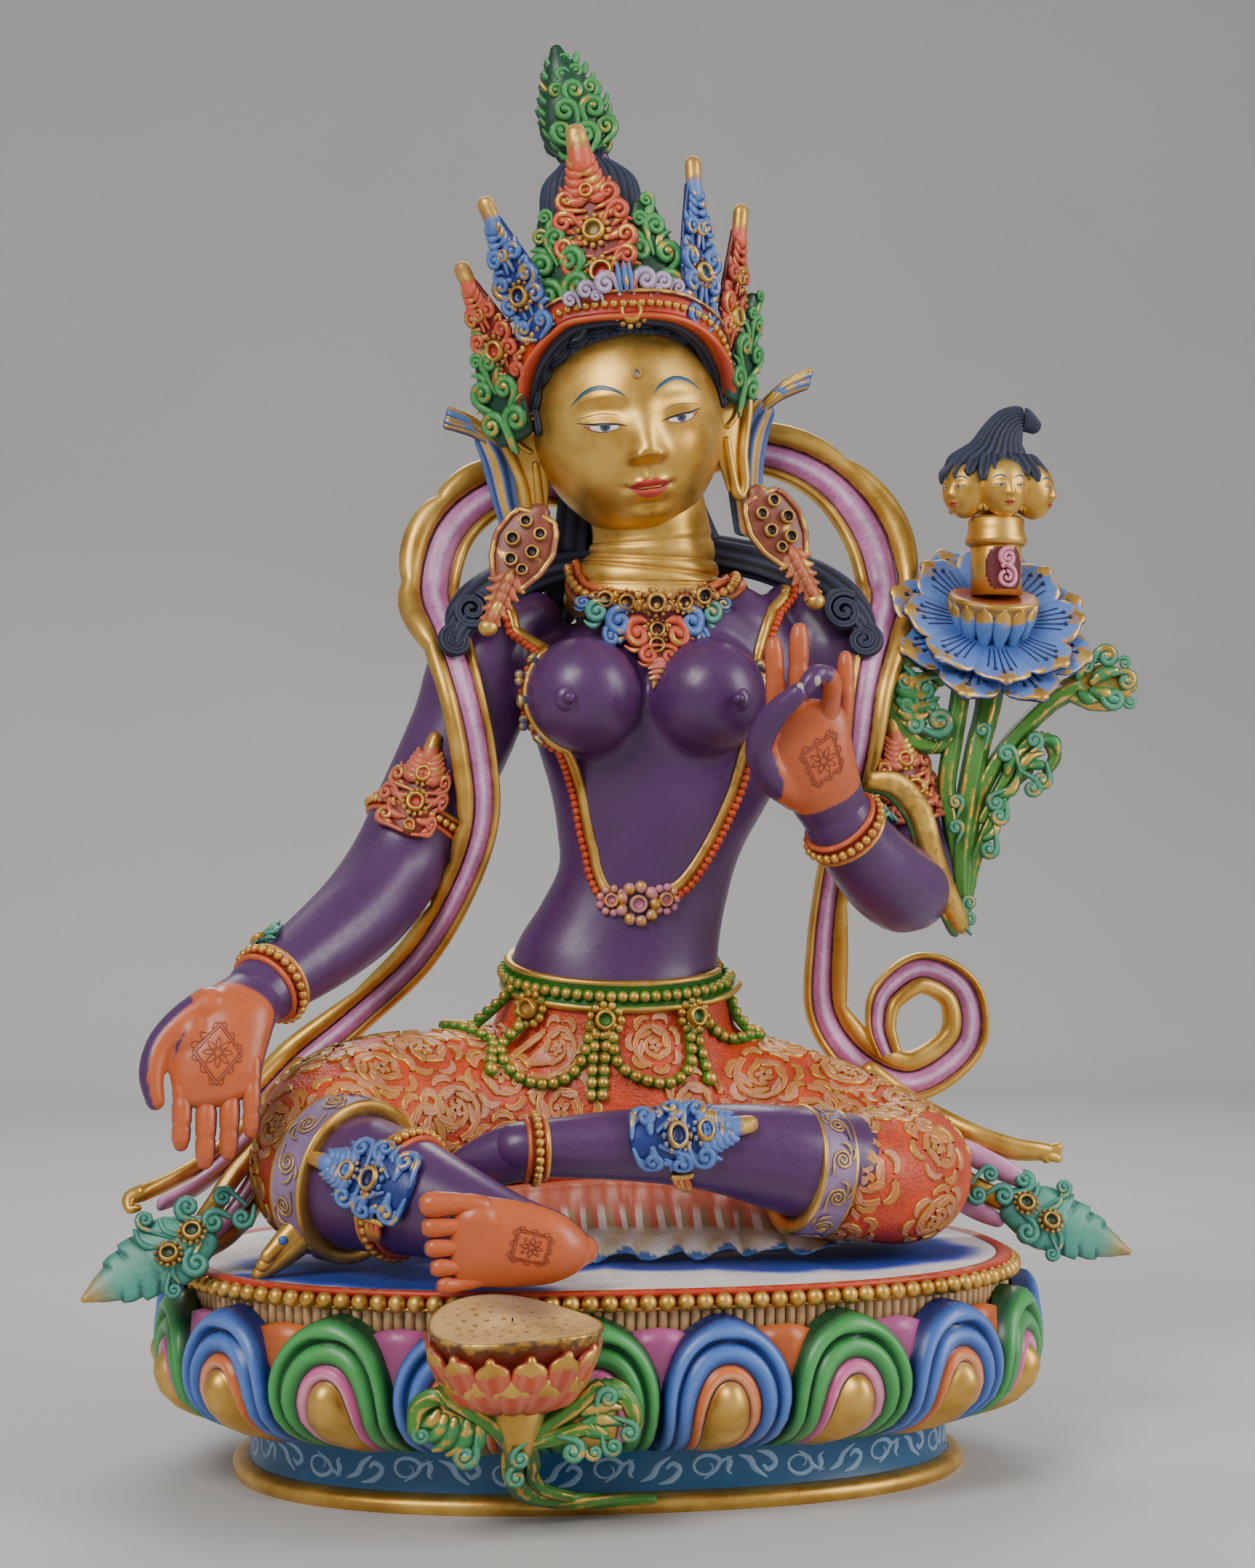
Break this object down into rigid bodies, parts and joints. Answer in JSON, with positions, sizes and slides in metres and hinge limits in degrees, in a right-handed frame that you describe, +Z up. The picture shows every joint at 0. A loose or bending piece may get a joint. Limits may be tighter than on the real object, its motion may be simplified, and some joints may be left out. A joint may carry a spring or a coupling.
{
  "type": "tara figure",
  "caption": "Painted and gilded seated goddess with crown, scarf and lotus spray, on an oval lotus plinth.",
  "frame": {"origin": "centre of the plinth's underside, on the surface it stands on", "axes": "+Z up, -Y the way the figure faces, +X the figure's left"},
  "size_m": [0.2484, 0.1757, 0.3312],
  "materials": {
    "plinth": "hand-painted blue and green petals, gilt beads and rim, white seat, satin",
    "figure": "satin purple skin, gilt face and neck, orange palms and soles, patterned orange-red skirt",
    "crown": "painted red, blue and green scrolls with rubbed gilt edges",
    "hair_finial": "painted green scrolls with rubbed gilt edges",
    "right_scarf": "gilt edges, pink middle, dark red grooves",
    "left_scarf": "gilt edges, pink middle, dark red grooves",
    "lotus_spray": "painted green leaves and blue petals with gilt ribs",
    "head_staff": "gilt heads and post, dark hair",
    "foot_lotus": "painted orange petals, tan pod, green leaves",
    "right_earring": "copper-brown paint with rubbed gilt settings",
    "left_earring": "copper-brown paint with rubbed gilt settings"
  },
  "bodies": {
    "root": {"plinth": "plinth", "figure": "figure", "crown": "crown", "hair_finial": "hair_finial", "right_scarf": "right_scarf", "left_scarf": "left_scarf", "lotus_spray": "lotus_spray", "head_staff": "head_staff", "foot_lotus": "foot_lotus", "right_earring": "right_earring", "left_earring": "left_earring"}
  },
  "joints": []
}
